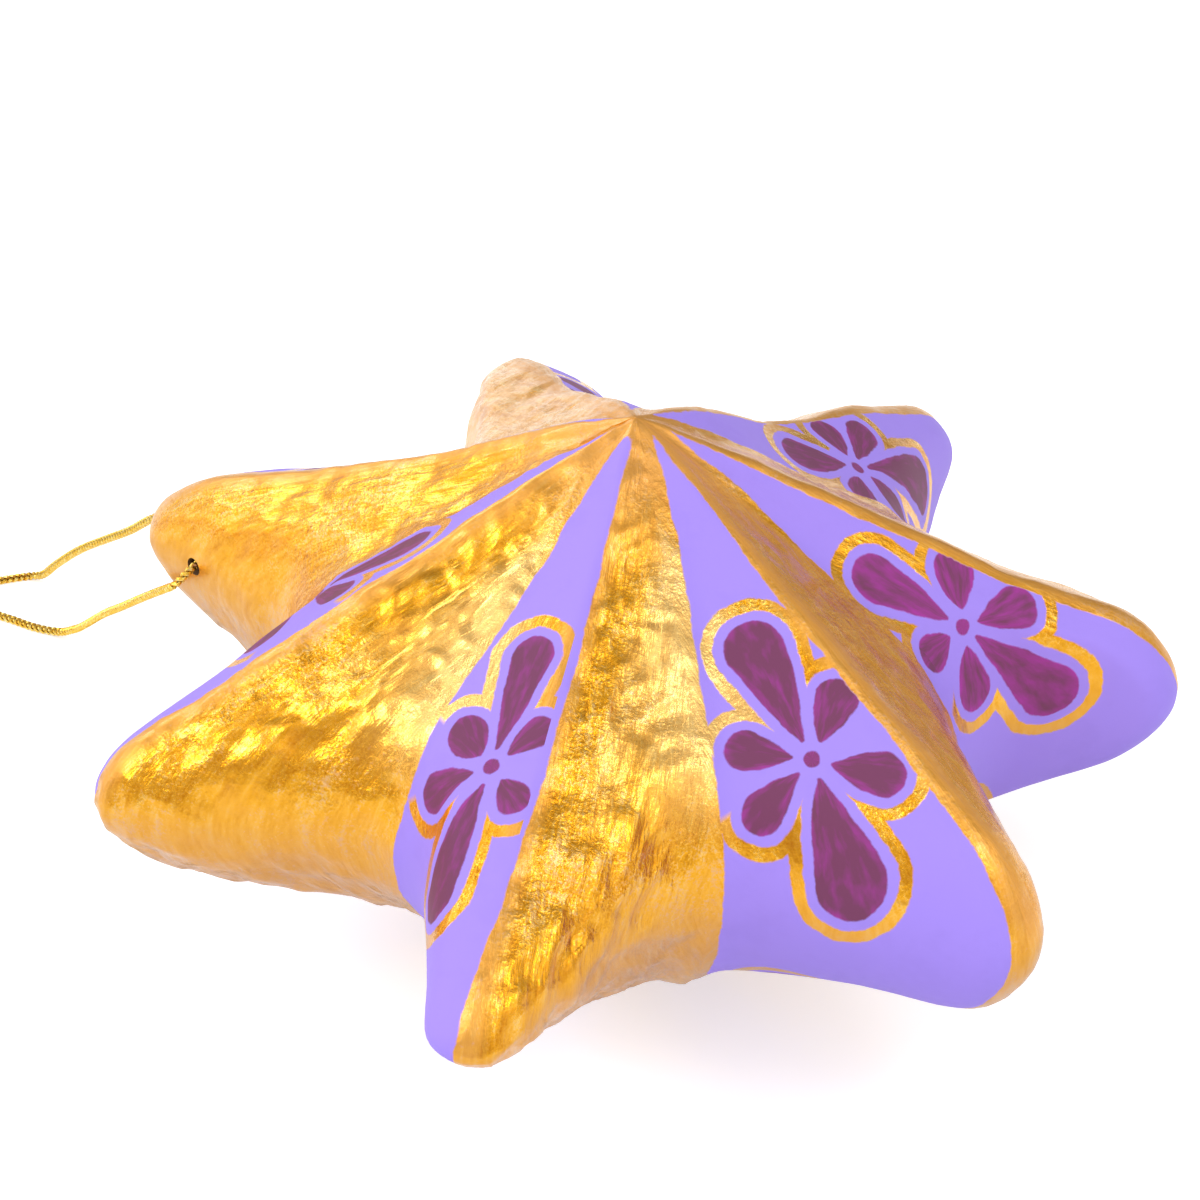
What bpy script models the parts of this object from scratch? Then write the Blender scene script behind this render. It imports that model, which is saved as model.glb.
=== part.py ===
# Papier mache star ornament, metres, +Z up, standing on the flat of its lower crown.
# Two hollow paper half stars meet at the mid plane, a pasted paper strip covers the joint,
# and a knotted loop of metallic cord runs through a hole pierced across one tip.
import math

import bmesh
import bpy
from mathutils import Matrix, Vector

# Star: reach of the tips, radius at the valleys, height of the crown over the mid plane
ARM_COUNT = 7
FIRST_ARM = 2.0
TIP_REACH = 0.0650
WAIST_REACH = 0.0405
CROWN_HEIGHT = 0.0355
CROWN_ROUND = 0.0010
CROWN_FLAT_CUT = 0.0025
TIP_EDGE_HEIGHT = 0.0058
WAIST_EDGE_HEIGHT = 0.0108
TIP_ROUND = 0.0052
WAIST_ROUND = 0.0120
RIDGE_ROUND = 0.0008
VALLEY_ROUND = 0.0030
EDGE_ROUND = 0.0090
EDGE_FULLNESS = 0.59

# How each hand formed arm differs from an even star: turn in degrees, added reach, added edge
# height, turn of the valley after it, and that valley's added radius
HAND_MADE = (
    (-0.5, -0.0015, 0.0014, -0.2, 0.0000),
    (1.1, 0.0007, -0.0007, 0.4, -0.0005),
    (-0.4, 0.0036, -0.0018, -1.1, -0.0007),
    (-2.8, 0.0005, -0.0006, -2.5, -0.0005),
    (-3.2, -0.0015, 0.0005, -1.4, 0.0010),
    (-2.6, 0.0017, -0.0028, -1.9, 0.0020),
    (2.4, -0.0023, 0.0027, 4.2, -0.0005),
)

# Paper: shell wall, the strip over the joint, and the gaps between touching pieces
WALL = 0.0025
STRIP_THICKNESS = 0.0008
STRIP_SHARE = 0.6
TOUCH_GAP = 0.0003

# Cord hole across one tip
HOLE_ARM = 3
HOLE_FROM_TIP = 0.0099
HOLE_RISE = 0.0012
HOLE_RADIUS = 0.0011
HOLE_SIDES = 16

# Cord and knot
CORD_RADIUS = 0.0005
CORD_POINTS = 78
KNOT_CENTRE = Vector((-0.1105, 0.0575, 0.0015))
KNOT_HALF_LENGTH = 0.0021
KNOT_HALF_WIDTH = 0.0017
KNOT_HALF_HEIGHT = 0.0015
TAIL_LENGTH = 0.0075
TAIL_SPREAD = 24.0

# Mesh counts
TIP_STEPS = 3
SIDE_STEPS = 2
WAIST_STEPS = 3
FACE_STEPS = 5
EDGE_STEPS = 5
TAIL_STEPS = 4
TAIL_SIDES = 8

MID_HEIGHT = CROWN_HEIGHT - CROWN_FLAT_CUT


def clear_scene():
    for item in list(bpy.data.objects):
        bpy.data.objects.remove(item, do_unlink=True)


def paint(name, color, roughness, metallic=0.0):
    material = bpy.data.materials.new(name)
    material.use_nodes = True
    shader = material.node_tree.nodes["Principled BSDF"]
    shader.inputs["Base Color"].default_value = (*color, 1.0)
    shader.inputs["Roughness"].default_value = roughness
    shader.inputs["Metallic"].default_value = metallic
    return material


def new_object(name, mesh, material):
    item = bpy.data.objects.new(name, mesh)
    bpy.context.collection.objects.link(item)
    if material:
        mesh.materials.append(material)
    return item


def arm_direction(index):
    step = 360.0 / ARM_COUNT
    turn = HAND_MADE[index % len(HAND_MADE)][0]
    return math.radians(FIRST_ARM + step * index + turn)


def arm_reach(index):
    return TIP_REACH + HAND_MADE[index % len(HAND_MADE)][1]


def valley_direction(index):
    step = 360.0 / ARM_COUNT
    turn = HAND_MADE[index % len(HAND_MADE)][3]
    return math.radians(FIRST_ARM + step * (index + 0.5) + turn)


def valley_reach(index):
    return WAIST_REACH + HAND_MADE[index % len(HAND_MADE)][4]


def fall(radius):
    # distance that a ridge or valley has run down from the rounded crown
    return math.hypot(radius, CROWN_ROUND) - CROWN_ROUND


class HalfArm:
    """One flank of an arm, from its ridge to the valley on one side."""

    def __init__(self, index, side):
        valley = index if side > 0 else index - 1
        turns = -2.0 * math.pi if valley < 0 else 0.0
        between = valley_direction(valley % ARM_COUNT) + turns - arm_direction(index)
        self.side = side
        self.direction = arm_direction(index)
        self.half = abs(between)
        self.reach = arm_reach(index)
        self.waist = valley_reach(valley % ARM_COUNT)
        edge = TIP_EDGE_HEIGHT + HAND_MADE[index % len(HAND_MADE)][2]
        self.ridge_slope = (CROWN_HEIGHT - edge) / fall(self.reach)
        self.valley_slope = (CROWN_HEIGHT - WAIST_EDGE_HEIGHT) / fall(self.waist)

    def outline(self):
        """Plan points and outward normals: tip arc, straight side, valley arc."""
        tip = Vector((self.reach - TIP_ROUND, 0.0))
        bend = self.waist + WAIST_ROUND
        waist = Vector((bend * math.cos(self.half), bend * math.sin(self.half)))
        across = waist - tip
        lean = math.acos(min((TIP_ROUND + WAIST_ROUND) / across.length, 1.0))
        facing = math.atan2(across.y, across.x) - lean
        points = []
        for step in range(TIP_STEPS + 1):
            angle = facing * step / TIP_STEPS
            normal = Vector((math.cos(angle), math.sin(angle)))
            points.append((tip + normal * TIP_ROUND, normal))
        normal = Vector((math.cos(facing), math.sin(facing)))
        start, end = points[-1][0], waist - normal * WAIST_ROUND
        for step in range(1, SIDE_STEPS):
            points.append((start.lerp(end, step / SIDE_STEPS), normal))
        for step in range(WAIST_STEPS + 1):
            angle = facing + (self.half - facing) * step / WAIST_STEPS
            normal = Vector((math.cos(angle), math.sin(angle)))
            points.append((waist - normal * WAIST_ROUND, normal))
        return points

    def slope(self, angle, radius):
        """Slope of the flank along a line from the crown, with soft ridge and valley."""
        ridge = min(RIDGE_ROUND / radius, 0.5 * self.half)
        valley = min(VALLEY_ROUND / radius, 0.4 * self.half)
        angle = min(angle, self.half)
        from_ridge = math.hypot(angle, ridge) - ridge
        from_ridge /= math.hypot(self.half, ridge) - ridge
        from_valley = math.hypot(self.half - angle, valley) - valley
        from_valley /= math.hypot(self.half, valley) - valley
        share = angle / self.half
        turned = self.half * (from_ridge * (1.0 - share) + (1.0 - from_valley) * share)
        part = self.ridge_slope * math.sin(self.half - turned)
        part += self.valley_slope * math.sin(turned)
        return part / math.sin(self.half)


class Section:
    """Radial section of a half star: down the flank, then round the edge to the mid plane."""

    def __init__(self, flank, point, normal, inset, drop):
        moved = point - normal * inset
        self.flank = flank
        self.radius = moved.length
        self.angle = abs(math.atan2(moved.y, moved.x))
        self.azimuth = flank.direction + flank.side * math.atan2(moved.y, moved.x)
        self.drop = drop
        self.start = self.radius - max(EDGE_ROUND - inset, EDGE_ROUND * 0.3)

    def height(self, radius):
        slope = self.flank.slope(self.angle, max(radius, CROWN_ROUND))
        return CROWN_HEIGHT - self.drop - slope * fall(radius)

    def place(self, radius, height):
        return Vector((radius * math.cos(self.azimuth), radius * math.sin(self.azimuth), height))

    def edge(self, share):
        """Point on the rounded edge, from the flank at 0 to the mid plane at 1."""
        low = max(self.height(self.radius), 0.1 * EDGE_ROUND)
        top = Vector((self.start, self.height(self.start)))
        corner = Vector((self.radius, low))
        foot = Vector((self.radius, 0.0))
        upper = top.lerp(corner, EDGE_FULLNESS)
        lower = foot.lerp(corner, EDGE_FULLNESS)
        rest = 1.0 - share
        spot = top * rest**3 + upper * (3.0 * share * rest**2)
        spot += lower * (3.0 * share**2 * rest) + foot * share**3
        return self.place(spot.x, spot.y)

    def share_after(self, share, distance):
        """Place on the edge that lies a distance further down than share."""
        step = 0.02
        speed = (self.edge(share + step) - self.edge(share)).length / step
        return share + distance / speed

    def radius_at(self, depth):
        """Radius where the flank has fallen a depth below the crown."""
        radius = depth
        for _ in range(12):
            slope = self.flank.slope(self.angle, max(radius, CROWN_ROUND))
            radius = math.sqrt((depth / slope + CROWN_ROUND) ** 2 - CROWN_ROUND**2)
        return radius


def star_sections(inset=0.0, drop=0.0):
    """Sections all the way round, counter-clockwise from above."""
    sections = []
    for index in range(ARM_COUNT):
        before, after = HalfArm(index, -1), HalfArm(index, 1)
        for point, normal in reversed(before.outline()[1:-1]):
            sections.append(Section(before, point, normal, inset, drop))
        for point, normal in after.outline():
            sections.append(Section(after, point, normal, inset, drop))
    return sections


def edge_shares(first, last, steps):
    return [first + (last - first) * step / steps for step in range(steps + 1)]


def loft(name, rings, material, closed=False):
    """Closed skin over rings of equal length; a ring of one point is a pole."""
    mesh = bpy.data.meshes.new(name)
    build = bmesh.new()
    rows = [[build.verts.new(point) for point in ring] for ring in rings]
    pairs = list(zip(rows, rows[1:]))
    if closed:
        pairs.append((rows[-1], rows[0]))
    for upper, lower in pairs:
        count = max(len(upper), len(lower))
        for here in range(count):
            after = (here + 1) % count
            corners = [
                upper[here % len(upper)],
                lower[here % len(lower)],
                lower[after % len(lower)],
                upper[after % len(upper)],
            ]
            build.faces.new(list(dict.fromkeys(corners)))
    bmesh.ops.recalc_face_normals(build, faces=build.faces)
    build.to_mesh(mesh)
    build.free()
    mesh.shade_smooth()
    mesh.set_sharp_from_angle(angle=math.radians(40.0))
    return new_object(name, mesh, material)


def half_star(name, material, flat_cut):
    """Hollow half star with its crown up, and a rebate round the rim for the strip."""
    outer = star_sections()
    rebate = star_sections(STRIP_THICKNESS + TOUCH_GAP)
    inner = star_sections(WALL, WALL * 1.2)
    rim = TOUCH_GAP / 2.0
    crown = CROWN_HEIGHT - flat_cut
    first = [s.radius_at(max(flat_cut, CROWN_ROUND / 4.0)) for s in outer]
    rings = [[Vector((0.0, 0.0, crown))]]
    for step in range(FACE_STEPS):
        share = step / FACE_STEPS
        radii = [a + (s.start - a) * share for a, s in zip(first, outer)]
        rings.append([s.place(r, min(s.height(r), crown)) for s, r in zip(outer, radii)])
    for share in edge_shares(0.0, STRIP_SHARE, EDGE_STEPS - 2):
        rings.append([s.edge(share) for s in outer])
    for share in edge_shares(STRIP_SHARE, 1.0, 2):
        rings.append([raised(s.edge(share), rim) for s in rebate])
    for share in edge_shares(1.0, 0.0, 2):
        rings.append([raised(s.edge(share), rim) for s in inner])
    for share in (0.7, 0.4, 0.12):
        rings.append([s.place(s.start * share, s.height(s.start * share)) for s in inner])
    rings.append([Vector((0.0, 0.0, CROWN_HEIGHT - WALL * 1.2 - flat_cut / 2.0))])
    return loft(name, rings, material)


def raised(point, lowest):
    return Vector((point.x, point.y, max(point.z, lowest)))


def joint_strip(material):
    """Band of pasted paper over the joint, flush with both half stars."""
    outer = star_sections()
    inner = star_sections(STRIP_THICKNESS)
    starts = [s.share_after(STRIP_SHARE, 1.5 * TOUCH_GAP) for s in outer]
    upper, backing = [], []
    for part in edge_shares(0.0, 1.0, 2):
        shares = [a + (1.0 - a) * part for a in starts]
        upper.append([s.edge(t) for s, t in zip(outer, shares)])
        backing.append([s.edge(t) for s, t in zip(inner, shares)])
    rings = upper + mirrored(upper) + mirrored(backing)[::-1] + backing[::-1]
    kept = [ring for here, ring in enumerate(rings) if here not in (3, 8)]
    return loft("joint_strip", kept, material, closed=True)


def mirrored(rings):
    return [[Vector((p.x, p.y, -p.z)) for p in ring] for ring in reversed(rings)]


def hole_frame():
    """Centre of the cord hole, its direction and the arm's."""
    direction = arm_direction(HOLE_ARM)
    outward = Vector((math.cos(direction), math.sin(direction), 0.0))
    centre = outward * (arm_reach(HOLE_ARM) - HOLE_FROM_TIP)
    centre.z = MID_HEIGHT + HOLE_RISE
    return centre, Vector((-outward.y, outward.x, 0.0)), outward


def pierce(shells):
    """Cord hole, cut straight across the tip through every piece that it meets."""
    centre, along, _ = hole_frame()
    mesh = bpy.data.meshes.new("hole_cutter")
    build = bmesh.new()
    turn = along.to_track_quat("Z", "Y").to_matrix().to_4x4()
    bmesh.ops.create_cone(
        build,
        cap_ends=True,
        segments=HOLE_SIDES,
        radius1=HOLE_RADIUS,
        radius2=HOLE_RADIUS,
        depth=2.0 * WAIST_REACH,
        matrix=Matrix.Translation(centre) @ turn,
    )
    build.to_mesh(mesh)
    build.free()
    cutter = bpy.data.objects.new("hole_cutter", mesh)
    bpy.context.collection.objects.link(cutter)
    cutter.hide_render = True
    cutter.display_type = "WIRE"
    for shell in shells:
        cut = shell.modifiers.new("cord_hole", "BOOLEAN")
        cut.operation = "DIFFERENCE"
        cut.solver = "EXACT"
        cut.object = cutter


def smooth_route(points, count):
    """Evenly spaced points on a smooth curve through the chosen ones."""
    ends = [points[0] * 2.0 - points[1]] + points + [points[-1] * 2.0 - points[-2]]
    dense = []
    for here in range(len(points) - 1):
        a, b, c, d = ends[here : here + 4]
        for step in range(24):
            t = step / 24.0
            spot = b * 2.0 + (c - a) * t + (a * 2.0 - b * 5.0 + c * 4.0 - d) * t**2
            dense.append((spot + (b * 3.0 - a - c * 3.0 + d) * t**3) * 0.5)
    dense.append(points[-1])
    travelled = [0.0]
    for before, after in zip(dense, dense[1:]):
        travelled.append(travelled[-1] + (after - before).length)
    route, here = [], 0
    for step in range(count):
        wanted = travelled[-1] * step / (count - 1)
        while here < len(dense) - 2 and travelled[here + 1] < wanted:
            here += 1
        share = (wanted - travelled[here]) / (travelled[here + 1] - travelled[here])
        route.append(dense[here].lerp(dense[here + 1], share))
    return route


def knot_side(side):
    """Where a strand meets the knot, a gap off its face."""
    toward_star = Vector((0.0, 0.0, KNOT_CENTRE.z)) - KNOT_CENTRE
    toward_star.normalize()
    across = Vector((-toward_star.y, toward_star.x, 0.0))
    return KNOT_CENTRE + toward_star * (KNOT_HALF_LENGTH + TOUCH_GAP), across * side, toward_star


def cord_route():
    """Points that the cord passes: knot, near strand, hole, far strand, knot."""
    centre, along, _ = hole_frame()
    low = CORD_RADIUS
    meet, aside, _ = knot_side(1.35 * CORD_RADIUS)
    near = [
        (-0.1020, 0.0566, low),
        (-0.0950, 0.0567, low),
        (-0.0890, 0.0554, low),
        (-0.0835, 0.0531, low),
        (-0.0800, 0.0514, low),
        (-0.0765, 0.0500, low + 0.0004),
        (-0.0740, 0.0475, 0.0032),
        (-0.0721, 0.0445, 0.0060),
        (-0.0680, 0.0377, 0.0129),
        (-0.0646, 0.0320, 0.0182),
        (-0.0616, 0.0272, 0.0228),
        (-0.0588, 0.0228, 0.0270),
        (-0.0565, 0.0190, 0.0305),
        (-0.0550, 0.0170, 0.0326),
    ]
    far = [
        (-0.0490, 0.0362, 0.0331),
        (-0.0540, 0.0367, 0.0309),
        (-0.0604, 0.0390, 0.0274),
        (-0.0650, 0.0440, 0.0217),
        (-0.0688, 0.0482, 0.0174),
        (-0.0733, 0.0530, 0.0123),
        (-0.0776, 0.0583, 0.0062),
        (-0.0803, 0.0617, 0.0020),
        (-0.0825, 0.0633, low),
        (-0.0860, 0.0622, low),
        (-0.0910, 0.0600, low),
        (-0.0965, 0.0590, low),
        (-0.1025, 0.0584, low),
    ]
    through = [centre + along * (0.0070 * side) for side in (-1.0, -0.5, 0.0, 0.5, 1.0)]
    route = [meet - aside] + [Vector(p) for p in near]
    route += through[::-1]
    route += [Vector(p) for p in far] + [meet + aside]
    return route


def hanging_cord(material, pivot):
    """Cord loop as one tube, from the knot through the hole and back to the knot."""
    curve = bpy.data.curves.new("hanging_cord", "CURVE")
    curve.dimensions = "3D"
    curve.bevel_depth = CORD_RADIUS
    curve.bevel_resolution = 2
    curve.use_fill_caps = True
    points = smooth_route(cord_route(), CORD_POINTS)
    line = curve.splines.new("POLY")
    line.points.add(len(points) - 1)
    for point, spot in zip(line.points, points):
        point.co = (*(spot - pivot.location), 1.0)
    item = new_object("hanging_cord", curve, material)
    item.parent = pivot
    return item


def cord_knot(material, pivot):
    """Tight knot of both strands, with their two short tails, as one body."""
    _, across, toward_star = knot_side(1.0)
    turn = toward_star.to_track_quat("X", "Z").to_matrix().to_4x4()
    size = Matrix.Diagonal((KNOT_HALF_LENGTH, KNOT_HALF_WIDTH, KNOT_HALF_HEIGHT, 1.0))
    mesh = bpy.data.meshes.new("cord_knot")
    build = bmesh.new()
    bmesh.ops.create_uvsphere(build, u_segments=14, v_segments=9, radius=1.0, matrix=turn @ size)
    build.to_mesh(mesh)
    build.free()
    mesh.shade_smooth()
    knot = new_object("cord_knot", mesh, material)
    knot.parent = pivot
    knot.location = KNOT_CENTRE - pivot.location
    for name, side in (("near_tail", -1.0), ("far_tail", 1.0)):
        tail = cord_tail(name, side, toward_star, across)
        tail.parent = pivot
        tail.location = knot.location
        join = knot.modifiers.new(name, "BOOLEAN")
        join.operation = "UNION"
        join.solver = "EXACT"
        join.object = tail
    return knot


def cord_tail(name, side, toward_star, across):
    """Short free end of a strand that leaves the back of the knot and lies down."""
    away = -toward_star * math.cos(math.radians(TAIL_SPREAD))
    away += across * (side * math.sin(math.radians(TAIL_SPREAD)))
    aside = Vector((-away.y, away.x, 0.0))
    rest = CORD_RADIUS - KNOT_CENTRE.z
    rings = []
    for step in range(TAIL_STEPS + 1):
        share = step / TAIL_STEPS
        spot = away * (KNOT_HALF_LENGTH * 0.35 + (KNOT_HALF_LENGTH + TAIL_LENGTH) * share)
        spot.z = rest * min(2.0 * share, 1.0)
        angles = [2.0 * math.pi * here / TAIL_SIDES for here in range(TAIL_SIDES)]
        ring = [aside * math.cos(a) + Vector((0.0, 0.0, math.sin(a))) for a in angles]
        rings.append([spot + point * CORD_RADIUS for point in ring])
        if step in (0, TAIL_STEPS):
            rings.insert(len(rings) * (step > 0), [spot])
    item = loft(name, rings, None)
    item.hide_render = True
    item.display_type = "WIRE"
    return item


def build_star():
    clear_scene()
    lilac = paint("lilac_paint", (0.42, 0.30, 0.87), 0.55)
    gold = paint("gold_paint", (0.85, 0.53, 0.10), 0.38, 0.8)
    thread = paint("gold_cord", (0.90, 0.66, 0.16), 0.30, 1.0)
    front = half_star("front_shell", lilac, 0.0)
    front.location.z = MID_HEIGHT
    back = half_star("back_shell", lilac, CROWN_FLAT_CUT)
    back.data.transform(Matrix.Diagonal((1.0, 1.0, -1.0, 1.0)))
    back.data.flip_normals()
    back.location.z = MID_HEIGHT
    strip = joint_strip(gold)
    strip.location.z = MID_HEIGHT
    pierce((front, back, strip))
    pivot = bpy.data.objects.new("loop_pivot", None)
    bpy.context.collection.objects.link(pivot)
    pivot.location = hole_frame()[0]
    hanging_cord(thread, pivot)
    cord_knot(thread, pivot)


build_star()
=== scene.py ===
# A hand painted papier mache star with a gold cord loop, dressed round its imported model.
import math

import bmesh
import bpy
import numpy as np
from mathutils import Euler, Matrix, Vector


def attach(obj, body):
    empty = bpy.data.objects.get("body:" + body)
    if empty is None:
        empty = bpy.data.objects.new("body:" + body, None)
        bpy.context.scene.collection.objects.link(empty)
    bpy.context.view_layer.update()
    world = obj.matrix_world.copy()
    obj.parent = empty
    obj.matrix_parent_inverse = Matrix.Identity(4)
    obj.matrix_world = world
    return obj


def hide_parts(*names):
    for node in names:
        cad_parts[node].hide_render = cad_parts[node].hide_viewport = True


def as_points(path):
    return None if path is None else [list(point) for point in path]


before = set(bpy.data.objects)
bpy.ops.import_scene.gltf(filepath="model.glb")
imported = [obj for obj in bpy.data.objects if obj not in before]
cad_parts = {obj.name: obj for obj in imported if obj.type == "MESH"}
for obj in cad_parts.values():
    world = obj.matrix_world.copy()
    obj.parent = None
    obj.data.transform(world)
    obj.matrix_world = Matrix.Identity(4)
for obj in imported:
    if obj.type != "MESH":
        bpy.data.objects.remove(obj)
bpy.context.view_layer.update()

scene = bpy.context.scene
scene.view_settings.view_transform = "Standard"
mm = 0.001


# Camera, floor and lamps

camera = {
    "place": (0.00096, -0.32202, 0.27251),
    "turn": (54.6592, -1.0008, 1.5122),
    "lens": 103.5514,
}
floor = {"halfWidth": 4.0, "color": (0.84, 0.87, 0.89), "backing": 0.47, "mirrored": 0.5}
lamps = {
    "leftBox": {"place": (-0.75, -0.45, 0.85), "size": (0.37, 0.37), "watts": 2.3},
    "rightBox": {"place": (0.45, -0.50, 1.05), "size": (0.31, 0.31), "watts": 1.4},
    "backBox": {"place": (-0.55, 0.62, 0.55), "size": (0.45, 0.30), "watts": 1.3},
}
# How bright the studio's walls are: each glow has its direction, the cosines where it starts
# and is full, and its amount
walls = {
    "color": (1.0, 0.965, 0.93),
    "everywhere": 0.34,
    "glows": [
        ((-0.62, -0.30, 0.72), (0.84, 0.94), 0.85),
        ((-0.95, 0.02, 0.31), (0.87, 0.97), 0.80),
        ((0.53, -0.59, 0.62), (0.68, 0.90), 0.72),
        ((0.42, -0.42, 0.80), (0.88, 0.97), 0.40),
        ((-0.80, 0.50, 0.28), (0.60, 0.95), 0.55),
        ((0.12, -0.08, 0.99), (0.84, 0.98), 0.35),
        ((-0.35, -0.93, 0.10), (0.70, 0.95), 0.35),
        ((0.92, 0.10, 0.20), (0.60, 0.95), 0.35),
    ],
}


def placed(name, data):
    # a new object in the scene
    item = bpy.data.objects.new(name, data)
    scene.collection.objects.link(item)
    return item


def meshItem(name, points, faces, *materials):
    mesh = bpy.data.meshes.new(name)
    mesh.from_pydata(points, [], faces)
    for material in materials:
        mesh.materials.append(material)
    return placed(name, mesh)


def makeCamera():
    data = bpy.data.cameras.new("camera")
    data.sensor_width = 36.0
    data.lens = camera["lens"]
    data.clip_start, data.clip_end = 0.01, 50.0
    item = placed("camera", data)
    item.location = camera["place"]
    item.rotation_euler = Euler([math.radians(turn) for turn in camera["turn"]])
    scene.camera = item


def makeLamps():
    for name, lamp in lamps.items():
        data = bpy.data.lights.new(name, "AREA")
        data.shape = "RECTANGLE"
        data.size, data.size_y = lamp["size"]
        data.energy = lamp["watts"]
        item = placed(name, data)
        item.location = lamp["place"]
        aim = Vector((0.0, 0.0, 0.02)) - item.location
        item.rotation_euler = aim.to_track_quat("-Z", "Y").to_euler()


# Shader maths

class Wire:
    # a node's output that can stand in a sum
    def __init__(self, nodes, socket):
        self.nodes, self.socket = nodes, socket

    def do(self, operation, *others):
        return self.nodes.math(operation, self, *others)

    def __add__(self, other):
        return self.do("ADD", other)

    def __sub__(self, other):
        return self.do("SUBTRACT", other)

    def __rsub__(self, other):
        return self.nodes.math("SUBTRACT", other, self)

    def __mul__(self, other):
        return self.do("MULTIPLY", other)

    def __truediv__(self, other):
        return self.do("DIVIDE", other)

    def __neg__(self):
        return self.do("MULTIPLY", -1.0)

    __radd__, __rmul__ = __add__, __mul__

    def clamped(self):
        return self.nodes.math("ADD", self, 0.0, clamp=True)

    def least(self, other):
        return self.do("MINIMUM", other)

    def most(self, other):
        return self.do("MAXIMUM", other)

    def size(self):
        return self.do("ABSOLUTE")

    def root(self):
        return self.do("SQRT")

    def step(self, low, high):
        # 0 at low and 1 at high, straight between them
        return ((self - low) * (1.0 / (high - low))).clamped()

    def near(self, number):
        # 1 at a whole number and 0 at its neighbours
        return (1.0 - (self - number).size()).clamped()


class Nodes:
    # makes the nodes of one tree
    def __init__(self, tree):
        self.tree = tree

    def feed(self, socket, value):
        if isinstance(value, Wire):
            self.tree.links.new(value.socket, socket)
        else:
            socket.default_value = value

    def node(self, kind, settings, values, output=0):
        made = self.tree.nodes.new(kind)
        for name, value in settings.items():
            if name == "stops":
                ramp = made.color_ramp
                while len(ramp.elements) < len(value):
                    ramp.elements.new(0.5)
                for element, (place, color) in zip(ramp.elements, value):
                    element.position, element.color = place, (*color, 1.0)
            else:
                setattr(made, name, value)
        for name, value in values.items():
            self.feed(made.inputs[name], value)
        return Wire(self, made.outputs[output])

    def math(self, operation, *values, clamp=False):
        settings = {"operation": operation, "use_clamp": clamp}
        return self.node("ShaderNodeMath", settings, dict(enumerate(values)))

    def place(self, name):
        # three values that the mesh holds under one name
        made = self.node("ShaderNodeAttribute", {"attribute_name": name}, {}, "Vector")
        return self.parts(made)

    def parts(self, vector):
        made = self.tree.nodes.new("ShaderNodeSeparateXYZ")
        self.feed(made.inputs[0], vector)
        return [Wire(self, output) for output in made.outputs]

    def joined(self, x, y, z=0.0):
        return self.node("ShaderNodeCombineXYZ", {}, {"X": x, "Y": y, "Z": z})

    def spot(self):
        return self.node("ShaderNodeTexCoord", {}, {}, "Object")

    def noise(self, vector, scale, detail=2.0, roughness=0.5, output="Fac"):
        values = {"Vector": vector, "Scale": scale, "Detail": detail, "Roughness": roughness}
        return self.node("ShaderNodeTexNoise", {}, values, output)

    def mix(self, share, first, second):
        first = (*first, 1.0) if isinstance(first, tuple) else first
        second = (*second, 1.0) if isinstance(second, tuple) else second
        settings = {"data_type": "RGBA"}
        return self.node("ShaderNodeMix", settings, {0: share, 6: first, 7: second}, 2)

    def shades(self, share, look):
        # a look's dark, mid and bright, at its tones
        stops = list(zip(look["tones"], (look["dark"], look["mid"], look["bright"])))
        return self.node("ShaderNodeValToRGB", {"stops": stops}, {"Fac": share}, "Color")

    def bump(self, height, depth):
        values = {"Height": height, "Distance": depth, "Strength": 1.0}
        return self.node("ShaderNodeBump", {}, values, "Normal")


class Paint(Nodes):
    # a material and its shader
    def __init__(self, name):
        self.material = bpy.data.materials.new(name)
        self.material.use_nodes = True
        super().__init__(self.material.node_tree)
        self.shader = self.tree.nodes["Principled BSDF"]

    def finish(self, **sockets):
        for name, value in sockets.items():
            self.feed(self.shader.inputs[name.replace("_", " ")], value)
        return self.material


def makeSky():
    world = bpy.data.worlds.new("studio")
    scene.world = world
    world.use_nodes = True
    tree = world.node_tree
    tree.nodes.clear()
    sky = Nodes(tree)
    way = sky.node("ShaderNodeTexCoord", {}, {}, "Generated")
    glow = walls["everywhere"]
    for side, (low, high), amount in walls["glows"]:
        values = {0: way, 1: Vector(side).normalized()}
        facing = sky.node("ShaderNodeVectorMath", {"operation": "DOT_PRODUCT"}, values, 1)
        glow = facing.step(low, high) * amount + glow
    seen = sky.node("ShaderNodeLightPath", {}, {}, "Is Camera Ray")
    level = glow * (1.0 - seen) + seen
    color = sky.mix(seen, walls["color"], (1.0, 1.0, 1.0))
    light = sky.node("ShaderNodeBackground", {}, {"Color": color, "Strength": level})
    output = tree.nodes.new("ShaderNodeOutputWorld")
    sky.feed(output.inputs["Surface"], light)


def makeFloor():
    wide = floor["halfWidth"]
    corners = [(-wide, -wide, 0), (wide, -wide, 0), (wide, wide, 0), (-wide, wide, 0)]
    paint = Paint("tableTop")
    seen = paint.node("ShaderNodeLightPath", {}, {}, "Is Camera Ray")
    mirrored = paint.node("ShaderNodeLightPath", {}, {}, "Is Glossy Ray")
    seen = seen.most(mirrored * floor["mirrored"])
    paint.finish(
        Base_Color=(*floor["color"], 1.0), Roughness=0.9, Specular_IOR_Level=0.1,
        Emission_Color=paint.mix(seen, (0.0, 0.0, 0.0), (1.0, 1.0, 1.0)),
        Emission_Strength=floor["backing"],
    )
    meshItem("table", corners, [(0, 1, 2, 3)], paint.material)


# The star's shape: sizes as in its model, in metres

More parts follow.
